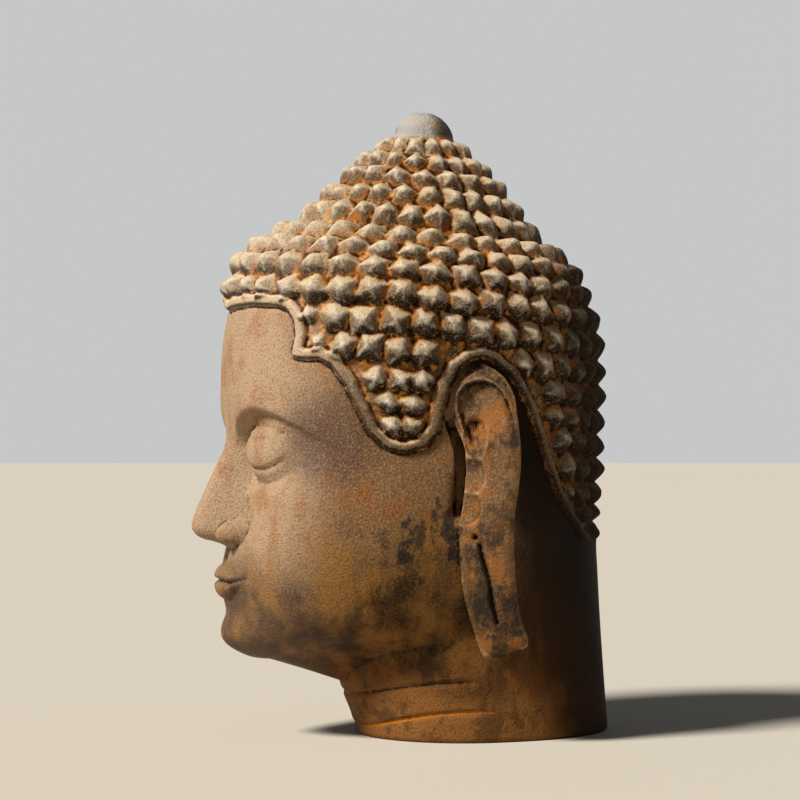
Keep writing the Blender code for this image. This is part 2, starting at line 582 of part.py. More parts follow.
def make_neck():
    ob, theta, t = shell("neck", *NECK_GRID)
    put(ob.data, *neck_points(theta, t))
    return ob


def make_ear(name, side):
    """side is 1 for the left ear and -1 for the right, whose turn runs the other way."""
    ob, theta, t = shell(name, *EAR_GRID)
    x, y, z = ear_points(theta * side, t)
    put(ob.data, side * x, y, z)
    return ob


def fuse(parts, name):
    """One skin over all the parts, with no more than FACES triangles."""
    bpy.ops.object.select_all(action="DESELECT")
    for ob in parts:
        ob.select_set(True)
    bpy.context.view_layer.objects.active = parts[0]
    bpy.ops.object.join()
    ob = bpy.context.object
    ob.name = ob.data.name = name
    skin = ob.modifiers.new("one skin", "REMESH")
    skin.mode = "VOXEL"
    skin.voxel_size = VOXEL * MM
    bpy.ops.object.modifier_apply(modifier=skin.name)
    fewer = ob.modifiers.new("fewer faces", "DECIMATE")
    fewer.ratio = min(1.0, FACES / (2.0 * len(ob.data.polygons)))
    bpy.ops.object.modifier_apply(modifier=fewer.name)
    return ob


def cut_flat(ob):
    """Cut the neck at the ground and close it with a flat underside."""
    bm = bmesh.new()
    bm.from_mesh(ob.data)
    bmesh.ops.bisect_plane(bm, geom=bm.verts[:] + bm.edges[:] + bm.faces[:], dist=0.00001,
                           plane_co=(0, 0, 0), plane_no=(0, 0, 1), clear_inner=True)
    bmesh.ops.holes_fill(bm, edges=[e for e in bm.edges if e.is_boundary], sides=0)
    bmesh.ops.triangulate(bm, faces=bm.faces[:])
    bm.to_mesh(ob.data)
    bm.free()


def rusted_iron():
    mat = bpy.data.materials.new("rusted cast iron")
    mat.use_nodes = True
    shader = mat.node_tree.nodes["Principled BSDF"]
    shader.inputs["Base Color"].default_value = (0.16, 0.082, 0.038, 1.0)
    shader.inputs["Roughness"].default_value = 0.72
    shader.inputs["Metallic"].default_value = 0.25
    return mat


def main():
    for ob in list(bpy.data.objects):
        bpy.data.objects.remove(ob, do_unlink=True)
    box = bpy.data.collections.new("Buddha head sculpture")
    bpy.context.scene.collection.children.link(box)
    parts = [make_head(), make_neck(), make_ear("ear left", 1), make_ear("ear right", -1)]
    head = fuse(parts, "head")
    cut_flat(head)
    head.data.materials.clear()
    head.data.materials.append(rusted_iron())
    for old in list(head.users_collection):
        old.objects.unlink(head)
    box.objects.link(head)


main()
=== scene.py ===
"""Looks of the cast head: rusted iron on a pale floor in soft light from the face side."""
import bpy
import numpy as np
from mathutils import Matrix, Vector
from mathutils.kdtree import KDTree


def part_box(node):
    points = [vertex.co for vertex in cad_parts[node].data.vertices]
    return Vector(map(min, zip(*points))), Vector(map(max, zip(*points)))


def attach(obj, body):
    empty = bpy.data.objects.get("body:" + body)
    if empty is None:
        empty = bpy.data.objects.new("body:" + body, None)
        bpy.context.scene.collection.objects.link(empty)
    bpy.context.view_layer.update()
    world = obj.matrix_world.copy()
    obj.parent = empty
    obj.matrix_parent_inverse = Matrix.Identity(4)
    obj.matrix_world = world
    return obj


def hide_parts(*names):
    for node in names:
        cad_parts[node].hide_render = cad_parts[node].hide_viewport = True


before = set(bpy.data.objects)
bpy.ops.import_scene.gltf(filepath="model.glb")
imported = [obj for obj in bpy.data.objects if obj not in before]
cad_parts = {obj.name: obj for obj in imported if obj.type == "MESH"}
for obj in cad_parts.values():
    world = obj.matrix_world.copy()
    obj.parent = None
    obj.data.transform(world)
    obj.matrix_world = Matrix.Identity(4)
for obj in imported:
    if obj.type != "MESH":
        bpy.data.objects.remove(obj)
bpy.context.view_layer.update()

# Lengths below are in millimetres, drawn on a head of this width, depth and height.
DRAWN = np.array([162.9, 205.4, 300.0])
low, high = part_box("head")
PART = (np.array(high) - np.array(low)) / DRAWN
CROWN = DRAWN[2]
SEED = 11

# how finely the form is worked out, and how many triangles it keeps
HEAD_GRID = (760, 620)
NECK_GRID = (400, 240)
EAR_GRID = (240, 320)
VOXEL = 0.00072
FACES = 196000

# where the photograph was taken from: level, 15 degrees forward of the left side
TURN = np.radians(15.0)
CAMERA_SIDE = (np.cos(TURN), -np.sin(TURN), 0.0)
MIDDLE = (-0.040 * np.sin(TURN), -0.040 * np.cos(TURN), 0.161)
CAMERA_FAR = 1.4
# width of what the picture shows at the head, and of the camera's film in mm
FIELD = 0.3896
SENSOR = 36.0

# a wide soft light high on the face side, and a pale studio that fades into a dimmer ceiling
# between two heights of the view upwards
LIGHT_SIDE = (0.26, -0.68, 0.68)
LIGHT_BRIGHT = 6.4
LIGHT_WIDE = np.radians(12.0)
LIGHT_FAR = 2.0
LIGHT_COLOUR = "#fffaf2"
STUDIO = "#e8eaea"
STUDIO_WALLS = 0.70
STUDIO_CEILING = 0.08
STUDIO_FADE = (0.14, 0.42)
# matt floor: colour, half its width, roughness
FLOOR = "#b8b1a5"
FLOOR_HALF = 6.0
FLOOR_ROUGH = 0.9

# marks on the mesh: millimetres that a point stands out from near and from wider round it,
# millimetres inside the hairline, and whether it is on an ear
MARKS = ("fine", "form", "hair", "ear")
FINE_ROUNDS, FORM_ROUNDS = 5, 40
# stands for a place far from the hair
OFF_HAIR = -40.0
# patterns of the rust: size of a blotch in mm, how tall it is to its width, detail, seed;
# and how rough the detail is
PATTERN_ROUGH = 0.6
PATTERNS = [
    ("grain", 0.50, 1.0, 4.0, 0.0), ("speck", 1.8, 1.0, 3.0, 3.0), ("patch", 8.0, 1.3, 6.0, 2.0),
    ("cloud", 26.0, 1.0, 3.0, 1.0), ("streak", 5.0, 3.2, 5.0, 5.0)]
# middles of larger stains, in metres on either side of the head
SPOTS = [("temple", (0.054, -0.090, 0.142)), ("jaw", (0.068, -0.046, 0.098))]

# Coats from the ground up, of rust, stains and dust, some of them painted shade and some painted
# highlight: name, colour, the most it covers, and the steps that let it lie. A step names a mark,
# where it starts and where it is full, and the patterns that sway it.
# Steps on back, level and the stains are in metres, those on fine, form and hair in millimetres.
GROUND = "#745639"
COATS = [
    ("tan", "#9d8164", 0.88, [("back", -0.074, -0.116, [("cloud", 0.06)])]),
    # darker towards the bottom: partly a darker brown of its own, partly painted shade under the
    # jaw
    ("low", "#38210a", 0.94, [("level", 0.108, 0.056, [("cloud", 0.10), ("patch", 0.04)])]),
    ("foot", "#795026", 0.85, [("level", 0.040, 0.016, [("cloud", 0.06)])]),
    ("warm", "#7f4a1b", 0.50, [("patch", -0.02, 0.15, [("streak", 0.6)])]),
    ("ochre", "#7f5a28", 0.62, [("patch", -0.16, 0.18, [("streak", 0.5)]),
                                ("level", 0.118, 0.088, [("cloud", 0.08)]),
                                ("level", 0.026, 0.052, [("cloud", 0.04)])]),
    ("mauve", "#3c2c2a", 0.62, [("temple", 0.032, 0.008, [("patch", 0.03)])]),
    ("curls", "#514131", 0.90, [("hair", 2.0, 3.4, [])]),
    ("bead", "#5d4a36", 0.85, [("hair", -3.2, -2.4, []), ("hair", 3.4, 2.6, [])]),
    ("front of the bead", "#b8a083", 0.80, [("hair", -3.0, -2.2, []), ("hair", 3.2, 2.4, []),
                                            ("back", -0.074, -0.108, [("speck", 0.03)])]),
    ("front of the hair", "#a8967d", 0.50, [("back", -0.058, -0.104, [("speck", 0.03)]),
                                            ("hair", 3.0, 4.0, [])]),
    # dust, and painted light: faces turned upward in the hair are paler
    ("dust and painted top light", "#c4af90", 0.74, [("upward", 0.10, 0.75, [("speck", 0.6)]),
                               ("hair", -3.0, -2.0, [])]),
    # painted shade: faces turned downward in the hair, under the curls and the bead, near black
    ("underside", "#1c0f04", 0.92, [("upward", 0.00, -0.50, [("speck", 0.4)]),
                                    ("hair", -3.0, -2.0, [])]),
    ("ear ground", "#5a4229", 0.66, [("ear", 0.4, 0.6, []), ("cloud", -0.16, 0.05, [])]),
    ("mottle", "#24160a", 0.46, [("patch", -0.03, -0.12, [("grain", 0.25), ("speck", 0.25)]),
                                 ("level", 0.120, 0.085, []), ("hair", -3.0, -4.0, []),
                                 ("back", -0.108, -0.070, [("cloud", 0.05)])]),
    ("dark grain", "#1f1103", 0.38, [("grain", -0.02, -0.12, [])]),
    ("pale grain", "#bf9a6c", 0.30, [("grain", 0.02, 0.15, []), ("level", 0.02, 0.135, [])]),
    # painted shade: the back of the hair, away from the light, is dark
    ("painted shade on the back of the hair", "#23150a", 0.88, [
        ("back", 0.004, 0.040, [("cloud", 0.03), ("speck", 0.03)]), ("hair", -3.4, -2.4, [])]),
    # painted shade: the nape, away from the light, is near black brown
    ("nape", "#281507", 0.93, [
        ("back", 0.014, 0.042, [("level", 0.37), ("cloud", 0.02), ("patch", 0.05)]),
        ("ear", 0.7, 0.3, []), ("hair", -2.4, -3.4, [])]),
    # painted shadow: a near black band behind each ear
    ("behind the ears", "#0f0702", 0.82, [
        ("back", 0.047, 0.078, [("level", 0.55), ("patch", 0.04)]), ("back", 0.062, 0.046, []),
        ("ear", 0.7, 0.3, []), ("hair", -2.4, -3.4, [])]),
    ("ear rust", "#8c5627", 0.56, [("patch", 0.02, 0.07, [("streak", 0.5)]),
                                   ("ear", 0.4, 0.6, [])]),
    ("slate", "#1c1d1f", 0.82, [
        ("streak", 0.03, 0.09, [("patch", -0.9), ("speck", 0.8), ("grain", 0.4)]),
        ("hair", -2.6, -3.6, []), ("ear", 0.1, 1.3, [("cloud", 1.6)])]),
    ("jaw stain", "#17181a", 0.72, [
        ("jaw", 0.012, 0.006, [("streak", 0.06), ("patch", 0.05), ("speck", 0.02)])]),
    ("ear rim", "#a08262", 0.62, [("form", 0.35, 1.3, [("speck", 2.6), ("patch", 1.6)]),
                                  ("ear", 0.4, 0.6, [])]),
    # painted shade: the hollows of the form are near black
    ("hollow", "#160c04", 0.92, [("form", -0.35, -1.0, [("speck", 0.5)])]),
    ("rust", "#955918", 0.86, [("form", 0.1, -0.7, [("speck", 3.4), ("patch", 2.6)]),
                               ("hair", -3.6, -2.6, []), ("upward", -0.5, 0.1, [("speck", 0.8)]),
                               ("back", 0.060, 0.020, [("cloud", 0.04)])]),
    ("bright rust", "#cd8733", 0.66, [("speck", 0.02, 0.10, []), ("form", 0.1, -0.5, []),
                                      ("hair", -3.6, -2.6, []), ("back", 0.030, 0.0, [])]),
    # painted shade: the fine crevices are near black
    ("painted shade in the crevices", "#160b03", 0.93, [("fine", -0.03, -0.20, [("speck", 0.3)])]),
    ("rust in the folds", "#a86414", 0.80, [("fine", -0.01, -0.14, []),
                                            ("level", 0.023, 0.017, [])]),
    # tips of the curls rubbed to grey metal, with painted highlight on them that fades towards the
    # back
    ("worn tips and painted highlight", "#d2c4ae", 0.82, [("form", 0.25, 1.6, [("speck", 1.6), ("grain", 0.8)]),
                               ("hair", -3.0, 6.0, []), ("back", 0.048, 0.004, [])]),
    # bare edges of the curls, and painted highlight along them, fading towards the back
    ("bare edges and painted highlight", "#c4b9a7", 0.40, [("fine", 0.05, 0.26, [("speck", 0.5), ("patch", 0.5)]),
                                    ("hair", 1.0, 6.0, []), ("back", 0.040, 0.0, [])]),
    ("knob", "#96938f", 0.92, [("level", 0.2865, 0.2885, []), ("patch", -0.22, 0.0, [])]),
    # painted shade: the back of the knob, away from the light, is dark brown
    ("painted shade on the back of the knob", "#32281f", 0.80, [("level", 0.2865, 0.2885, []),
                                           ("back", -0.030, -0.023, [("speck", 0.01)])])]
# sandy crust: what coarser blotches add on the skin and on the curls, and how deep it is
CRUST_SKIN = 0.35
CRUST_CURLS = 1.3
CRUST_DEEP = 0.0008
# gloss of the rust: dull all over, satin where the front is rubbed, brighter on bare metal
ROUGH_RUST, ROUGH_BARE = 0.66, 0.44
SHINE_DULL, SHINE_RUBBED = 0.08, 0.45
METAL_BARE = 0.6
# where the crease between head and neck is eased, in millimetres: level, and how far forward
FAIR_LOW = 36.0
FAIR_HIGH = 135.0
FAIR_FRONT = -62.0
# edges sharper than this stay crisp
SHARP = np.radians(60.0)

# end of the neck inside the head
NECK_TOP = 121.0
# level up to which the head takes up the swing of the jaw
JAW_BLEND = 112.0
# underside of the jaw: its length to the middle, and its height there
UNDERJAW = 62.0
UNDERJAW_LOW = 13.0
# curls: height, how far one may run over the bead, and the least share of one that is made
CURL_TALL = 7.0
CURL_OVER = 1.8
CURL_LEAST = 0.5
# bead along the hairline
BEAD_WIDE = 5.6
BEAD_PROUD = 2.4
# smooth knob on the crown
KNOB_BASE = 287.0
# mean half width of the head, by which turns are measured along the surface
HALF_WIDE = 81.0
# the oval is squarer below this level, by this much
SQUARE_BELOW = 190.0
SQUARE = 0.28
# rounding of the jaw's edge, and how far it draws in
JAW_ROUND = 11.0
JAW_INSET = 9.0
# the rows of hair rise towards the front by this slope, from this level up
HAIR_LEAN = np.tan(np.radians(5.3))
LEAN_FROM = 90.0
LEAN_OVER = 60.0

# the face is parted in three from the hairline down, and is five eyes wide
HAIRLINE_Z = 206.0
THIRD = 56.0
BROW_Z = HAIRLINE_Z - THIRD
NOSE_Z = BROW_Z - THIRD
CHIN_Z = NOSE_Z - THIRD
EYE_WIDE = 28.0
EYE_X = EYE_WIDE
EYE_Z = BROW_Z - 15.5
MOUTH_HALF = 22.0
# closed lid over the eye: how proud, half width, half height; and how deep its edge is sunk
LID_BALL = (8.2, 19.0, 14.5)
LID_SUNK = 5.6
# end of the nose: how proud, distance to the side, height, half width, half height
NOSE_TIP = (23.2, 0.0, NOSE_Z + 7.2, 9.6, 8.4)
NOSE_WING = (13.4, 10.6, NOSE_Z + 4.6, 5.6, 6.4)
NOSTRIL = (5.0, 5.6, NOSE_Z + 0.6, 2.5, 1.5)

# oval of the head: level, centre y, front half depth, back half depth, half width
SECTIONS = [
    (36, -36.2, 79.0, 62.0, 40.0), (46, -36.2, 85.0, 74.0, 47.5),
    (60, -36.2, 87.4, 82.0, 56.5), (75, -36.2, 87.6, 86.0, 62.0),
    (90, -36.2, 86.0, 87.5, 66.0), (107, -36.2, 82.6, 87.8, 69.2),
    (117, -36.2, 82.0, 88.2, 69.9), (125, -36.2, 82.9, 88.6, 70.0),
    (134, -36.2, 85.3, 89.0, 69.7), (142, -36.2, 88.1, 89.4, 69.3),
    (152, -36.2, 90.3, 89.8, 69.3), (167, -36.2, 91.0, 90.2, 70.0),
    (182, -36.2, 90.3, 90.1, 71.2), (196, -36.2, 88.0, 89.0, 72.0),
    (208.8, -36.0, 86.0, 86.5, 71.2), (220.1, -35.3, 81.6, 81.8, 67.6),
    (229.5, -32.7, 73.5, 73.5, 61.2), (236.9, -31.1, 61.9, 61.9, 52.4),
    (246.5, -31.1, 50.6, 50.6, 45.0), (256.3, -29.9, 42.7, 42.7, 38.0),
    (264.6, -29.6, 35.3, 35.3, 31.6), (272.8, -29.3, 28.1, 28.1, 25.4),
    (280.2, -29.2, 20.0, 20.0, 18.6), (284.6, -29.2, 16.4, 16.4, 15.6),
    (287.8, -29.2, 14.2, 14.2, 13.9), (290.4, -29.2, 13.7, 13.7, 13.5),
    (293.4, -29.2, 12.3, 12.3, 12.2), (296.4, -29.2, 9.8, 9.8, 9.8),
    (298.5, -29.2, 6.7, 6.7, 6.7), (CROWN - 0.4, -29.2, 3.4, 3.4, 3.4),
    (CROWN, -29.2, 0.0, 0.0, 0.0)]

# rows of curls from the nape to the knob: level, curls in the whole ring, share of a step
# by which the first is turned from the brow; low rows stand behind the ears alone
ROWS = [
    (98.0, 40, 0.5), (109.2, 40, 0.75), (119.9, 42, 0.15), (134.4, 40, 0.33),
    (147.4, 42, 0.64), (158.4, 44, 0.97), (169.6, 36, 0.03), (181.6, 42, 0.53),
    (194.3, 38, 0.51), (206.8, 36, 0.38), (218.2, 34, 0.0), (226.9, 32, 0.7),
    (233.9, 28, 0.29), (244.6, 26, 0.13), (254.7, 23, 0.11), (263.9, 18, 0.8),
    (272.6, 17, 0.2), (281.1, 15, 0.69)]
LOW_ROWS = 175.0
BEHIND_EARS = 95.0
# small curls in front of each ear: turn in degrees, level
SIDEBURN = [(70.5, 167.8), (76.8, 167.8), (82.4, 168.2), (74.2, 156.4), (80.6, 156.8),
            (75.5, 146.1), (80.8, 147.3)]
SIDEBURN_HALF = 5.4
# curls: half size as a share of the step and of the row's height, share of facet against
# cone, bluntness of the tip, fullness of the sides, and how far one may sit askew
CURL_HALF = (0.565, 0.59)
FACET = 0.74
BLUNT = 0.02
FULL = 1.45
ASKEW = 0.5

# hairline from the middle of the brow to the nape: turn in degrees, level
HAIRLINE = [
    (0, 197.6), (8, 199.0), (20, 200.2), (33, 200.2), (38.5, 198.2), (42.2, 192.5),
    (43.9, 184.5), (43.6, 176.4), (47.0, 176.2), (52.0, 177.0), (57.5, 173.5),
    (63.2, 164.6), (67.0, 153.7), (69.8, 144.0), (73.8, 138.4), (78.2, 137.2),
    (82.8, 139.8), (86.0, 147.4), (87.2, 157.9), (88.4, 168.0), (90.8, 176.8),
    (95.0, 182.3), (99.5, 184.4), (104.2, 182.7), (109.5, 176.8), (113.6, 170.4),
    (117.5, 162.1), (122.2, 147.4), (126.2, 133.9), (131.4, 119.6), (138.0, 109.0),
    (148.0, 98.0), (163.0, 90.6), (180.0, 88.4)]

# lower edge of the jaw: turn in degrees, height
JAW = [(0, CHIN_Z), (20, 39.0), (40, 43.0), (60, 47.5), (80, 50.0), (100, 51.0),
       (180, 52.0)]

# soft masses of the face: how proud, distance to the side, height, half width, half height
CHEEKBONE = (3.0, 43.0, 113.0, 19.0, 17.0)
MASSES = [CHEEKBONE, (2.0, 38.0, 84.0, 17.0, 17.0), (4.6, 0.0, 79.0, 25.0, 19.0),
          (6.6, 0.0, CHIN_Z + 9.5, 17.0, 12.0), (-1.6, 0.0, CHIN_Z + 22.5, 15.0, 4.2)]

# lines drawn on the face: distance to the side, height
BROW = [(0, 138.5), (6, 141.5), (12, 148.0), (20, 154.2), (30, 157.6), (40, 156.4),
        (48, 152.0), (56, 145.0), (64, 136.0)]
LID = [(8, 134.5), (13.5, 133.2), (18, 131.4), (26, 129.6), (33, 130.2), (39, 132.8),
       (43.5, 136.0), (50, 139.0)]
UPPER_LIP = [(0, 81.4), (2.2, 82.0), (5.0, 82.9), (9.0, 82.0), (14.0, 80.4),
             (19.0, 78.6), (22.5, 77.6), (26.0, 77.6)]
LIP_LINE = [(0, 74.9), (4.0, 75.4), (8.0, 75.2), (13.0, 74.8), (18.0, 75.8),
            (22.5, 77.4), (26.0, 79.0)]
LOWER_LIP = [(0, 66.4), (5.0, 66.5), (10.0, 67.6), (15.0, 70.2), (19.0, 73.6),
             (22.5, 77.2), (26.0, 77.6)]
# depth of the eye hollow by distance to the side
HOLLOW = [(0, 0.0), (7, 2.0), (13, 7.4), (20, 6.4), (30, 4.6), (42, 3.4), (52, 2.0),
          (60, 0.7), (66, 0.0)]
# nose by height: how proud the ridge is, and its half width
NOSE_RIDGE = [(87, 0.0), (90.0, 2.2), (92.0, 6.0), (94.2, 12.6), (96.4, 18.2),
              (98.8, 21.6), (101.8, 23.4), (105.0, 23.3), (110.0, 22.0), (120.0, 18.0),
              (130.0, 12.4), (140.0, 5.8), (150.0, 2.4), (160.0, 0.6), (170.0, 0.0)]
NOSE_HALF = [(88, 15.0), (95, 15.5), (100, 15.5), (107, 14.5), (120, 12.5),
             (132, 11.0), (142, 11.5), (150, 14.0), (160, 18.0), (170, 22.0)]

# outline of the ear: height, front edge, back edge along the ear's own plane
EAR = [(42.6, -1.7, 18.2), (45.5, -3.0, 18.6), (50.0, -5.0, 17.8), (59.0, -8.2, 15.4),
       (68.0, -10.8, 13.6), (78.0, -12.6, 12.5), (90.0, -13.4, 11.8), (105.0, -13.5, 11.7),
       (112.0, -12.2, 12.6), (120.0, -11.2, 13.8), (130.0, -10.5, 14.8),
       (137.5, -10.9, 14.9), (142.5, -12.4, 14.6), (149.0, -15.4, 13.9),
       (156.0, -17.9, 13.0), (162.0, -19.0, 12.2), (167.0, -18.6, 10.2),
       (171.5, -16.6, 7.2), (175.0, -12.4, 3.0), (177.4, -6.2, -2.4)]
# how far the ear's plane stands out from the middle of the head, by height
EAR_OUT = [(36, 66.0), (45, 67.4), (60, 70.6), (80, 74.2), (110, 76.8), (140, 77.4),
           (160, 76.6), (178, 74.6)]
EAR_FLARE = np.radians(22.0)
# the further out the ear's middle line, the further forward: how far back it would be at the
# middle of the head, and the sine and cosine of its slant of 15 degrees
EAR_BACK = 0.5
EAR_SLANT = (0.2588, 0.9659)
EAR_THICK = 5.6
# root that joins the ear to the head: its depth, and the level from which it starts
EAR_ROOT = 19.0
ROOT_LOW = 44.5
# wall that the carving always leaves behind it
EAR_LEAST = 1.9
LOBE_CUT = 60.0
LOBE_SLANT = 0.29
# border of the hollow at the top of the ear, round to the pit below it: along the ear, height
DISH = [(-6.0, 134.6), (-8.6, 139.0), (-10.6, 144.0), (-12.8, 150.0), (-14.4, 156.0),
        (-14.6, 161.0), (-13.6, 165.0), (-10.4, 168.6), (-6.2, 170.2), (-1.6, 170.4),
        (3.0, 168.8), (6.8, 165.2), (9.6, 160.8), (12.0, 154.0), (13.6, 147.0)]
# chiselled scoops down the front edge: along the ear, height, half width, half height, depth
SCOOPS = [(-6.2, 143.6, 5.4, 9.8, 3.6), (-8.0, 126.4, 6.6, 8.8, 3.6),
          (-10.2, 111.4, 7.0, 8.0, 3.6)]
# bevel round the ear: how far it falls, over what width, and what the top adds to each
BEVEL = (0.9, 3.2)
BEVEL_TOP = (3.6, 3.4)
# rim of the hollow at the top: how proud, and how softly it fades outward
RIM = (1.8, 3.0)
# hollow: its depth all over, what the deepest place adds, and the width of its wall
HOLLOW_DEEP = (1.6, 2.6)
HOLLOW_WALL = 1.3
# deepest place of the hollow: along the ear, height, half width, half height
HOLLOW_PLACE = (-8.0, 154.0, 9.0, 15.0)
# ridge beside the pit: how proud, half width
RIDGE = (1.5, 1.5)
# cut of the slit: depth, half width; and its lips: how far they swell, half width
SLIT_CUT = (3.4, 1.15)
SLIT_LIPS = (0.5, 3.4)
# slit of the lobe: height, place along the ear; and the small hole above it
SLIT = [(57.0, 4.7), (66.0, 2.4), (77.8, 0.6), (89.3, -2.7), (96.2, -4.2)]
HOLE = (-5.9, 97.6)
# channel between the cheek and the front edge of the ear
CHANNEL_LOW, CHANNEL_HIGH = 104.0, 156.0
CHANNEL_WIDE = 3.2
CHANNEL_DEEP = 7.5

# neck: height, front edge, back edge, half width; it runs on below the ground to be cut
NECK = [(-8, -62.0, 63.0, 51.0), (0, -62.0, 62.6, 51.0), (10, -64.5, 61.8, 50.4),
        (20, -68.6, 61.0, 50.0), (30, -71.5, 60.2, 50.2), (45, -74.0, 59.0, 51.5),
        (65, -72.0, 57.6, 54.0), (85, -62.0, 56.4, 56.5), (100, -50.0, 54.0, 54.0),
        (115, -30.0, 40.0, 40.0), (120, -6.0, 6.0, 6.0), (NECK_TOP, 0.0, 0.0, 0.0)]
NECK_MIDDLE = -12.0
FOOT_ROUND = 2.4
# folds across the throat: height in front, rise to the side, depth, turn where it ends
FOLDS = [(20.5, 8.0, 1.5, 92.0), (4.6, 9.6, 1.7, 98.0)]


def smooth(t):
    t = np.clip(t, 0.0, 1.0)
    return t * t * (3.0 - 2.0 * t)


def curve(x, rows, col=1):
    """Smooth curve through column col of a table whose first column rises."""
    t = np.array([r[0] for r in rows], float)
    v = np.array([r[col] for r in rows], float)
    s = np.gradient(v, t)
    x = np.clip(x, t[0], t[-1])
    i = np.clip(np.searchsorted(t, x, side="right") - 1, 0, len(t) - 2)
    h = t[i + 1] - t[i]
    u = (x - t[i]) / h
    return ((2 * u**3 - 3 * u**2 + 1) * v[i] + (u**3 - 2 * u**2 + u) * h * s[i]
            + (3 * u**2 - 2 * u**3) * v[i + 1] + (u**3 - u**2) * h * s[i + 1])


def bell(x, z, cx, cz, rx, rz):
    """Soft swelling of height 1."""
    return np.exp(-((x - cx) / rx)**2 - ((z - cz) / rz)**2)


def dome(x, z, cx, cz, rx, rz, power):
    """Rounded boss of height 1 with a clear edge."""
    return np.clip(1.0 - ((x - cx) / rx)**2 - ((z - cz) / rz)**2, 0.0, None)**power


def groove(distance, half):
    return np.exp(-(distance / half)**2)


def soft_max(a, b, k):
    """The larger of two, with the corner between them rounded over k."""
    h = np.clip(0.5 + 0.5 * (a - b) / k, 0.0, 1.0)
    return b * (1 - h) + a * h + k * h * (1 - h)


def rounding(gap, radius):
    """How far a rounded edge falls back at a distance gap from the edge."""
    s = 1.0 - np.clip(gap / radius, 0.0, 1.0)
    return 1.0 - np.sqrt(np.clip(1.0 - s * s, 0.0, 1.0))


def path_distance(u, v, pu, pv):
    """Least distance from points to an open line of straight pieces."""
    best = np.full(u.shape, 1e9)
    for a, b, c, d in zip(pu[:-1], pv[:-1], pu[1:], pv[1:]):
        du, dv = c - a, d - b
        t = np.clip(((u - a) * du + (v - b) * dv) / (du * du + dv * dv), 0.0, 1.0)
        best = np.minimum(best, np.hypot(u - a - t * du, v - b - t * dv))
    return best


def eye_depth(side, z, d):
    """Brow edge, eye hollow and closed lids added to the face depth d."""
    below = curve(side, BROW) - z
    d = d - curve(side, HOLLOW) * smooth((below + 0.6) / 5.2) * smooth((z - 116.0) / 16.0)
    edge = groove(np.minimum(below + 1.0, 0.0), 9.0) * smooth((6.0 - below) / 5.0)
    d = d + 1.5 * edge * smooth((62.0 - side) / 14.0) * smooth((side - 4.0) / 8.0)
    ball = LID_BALL[0] * dome(side, z, EYE_X, EYE_Z, *LID_BALL[1:], 0.62) - LID_SUNK
    d = soft_max(d, ball + 1.6 * bell(side, z, *CHEEKBONE[1:]), 1.6)
    over = z - curve(side, LID)
    wide = smooth((side - 12.0) / 3.5) * smooth((44.5 - side) / 4.5)
    d = d + 0.95 * wide * smooth((over + 0.5) / 0.9) * smooth((11.0 - over) / 9.0)
    d = d - 1.0 * wide * groove(over + 0.9, 0.95)
    d = d + 0.5 * wide * groove(over + 4.2, 2.0)
    crease = smooth((side - 14.0) / 5.0) * smooth((46.0 - side) / 7.0)
    return d - 0.7 * crease * groove(over - 12.5, 1.3)


def nose_depth(side, z, d):
    across = 1.0 - smooth((side / curve(z, NOSE_HALF) - 0.16) / 0.84)
    nose = curve(z, NOSE_RIDGE) * across
    tip = NOSE_TIP[0] * dome(side, z, *NOSE_TIP[1:], 0.42)
    wing = NOSE_WING[0] * dome(side, z, *NOSE_WING[1:], 0.45)
    nose = soft_max(nose, tip * smooth((z - 91.6) / 3.2), 1.4)
    nose = soft_max(nose, wing * smooth((z - 91.4) / 2.6), 1.2)
    d = np.where(nose > 0.02, soft_max(d, d * (1 - across) + nose, 1.0), d)
    d = d - NOSTRIL[0] * bell(side, z, *NOSTRIL[1:])
    return d - 0.8 * bell(side, z, 16.8, 99.5, 1.6, 5.5)


def lip_depth(side, z, d):
    upper, line, lower = (curve(side, p) for p in (UPPER_LIP, LIP_LINE, LOWER_LIP))
    taper = smooth((MOUTH_HALF + 1.2 - side) / 9.0)
    tu = (z - line) / np.maximum(upper - line, 0.4)
    tl = (line - z) / np.maximum(line - lower, 0.4)
    up = np.where((tu > 0) & (tu < 1), 1.0 - (2 * tu - 0.85)**2 * 0.62, 0.0)
    low = np.where((tl > 0) & (tl < 1), 1.0 - (2 * tl - 0.95)**2 * 0.75, 0.0)
    d = d + (3.5 * np.maximum(up, 0.0) + 3.7 * np.maximum(low, 0.0)) * taper
    d = d - 1.9 * groove(z - line, 0.9) * smooth((MOUTH_HALF + 1.6 - side) / 3.0)
    d = d - 0.9 * bell(side, z, MOUTH_HALF + 1.4, 77.6, 2.2, 2.2)
    d = d - 1.1 * bell(side, z, 0.0, 88.0, 2.3, 4.6)
    return d + 0.5 * bell(side, z, 4.2, 87.0, 1.5, 4.6)


def face_depth(x, z):
    """How far the face stands forward of the plain oval."""
    side = np.abs(x)
    d = sum(m[0] * bell(side, z, *m[1:]) for m in MASSES)
    for part in (eye_depth, nose_depth, lip_depth):
        d = part(side, z, d)
    return d


def degrees_off_front(theta):
    return np.degrees(np.abs(theta))


def meridian():
    """Levels of the head and the running length up to each of them."""
    level = np.linspace(SECTIONS[0][0], SECTIONS[-1][0], 1200)
    radius = 0.5 * (curve(level, SECTIONS, 2) + curve(level, SECTIONS, 4))
    step = np.hypot(np.diff(level), np.diff(radius))
    return level, np.concatenate([[0.0], np.cumsum(step)])


def ring_length(level):
    """Turns round the ring at a level and the running length along it."""
    th = np.linspace(0, 2 * np.pi, 721)
    deep = np.where(np.cos(th) > 0, curve(level, SECTIONS, 2), curve(level, SECTIONS, 3))
    x, y = curve(level, SECTIONS, 4) * np.sin(th), deep * np.cos(th)
    return th, np.concatenate([[0.0], np.cumsum(np.hypot(np.diff(x), np.diff(y)))])


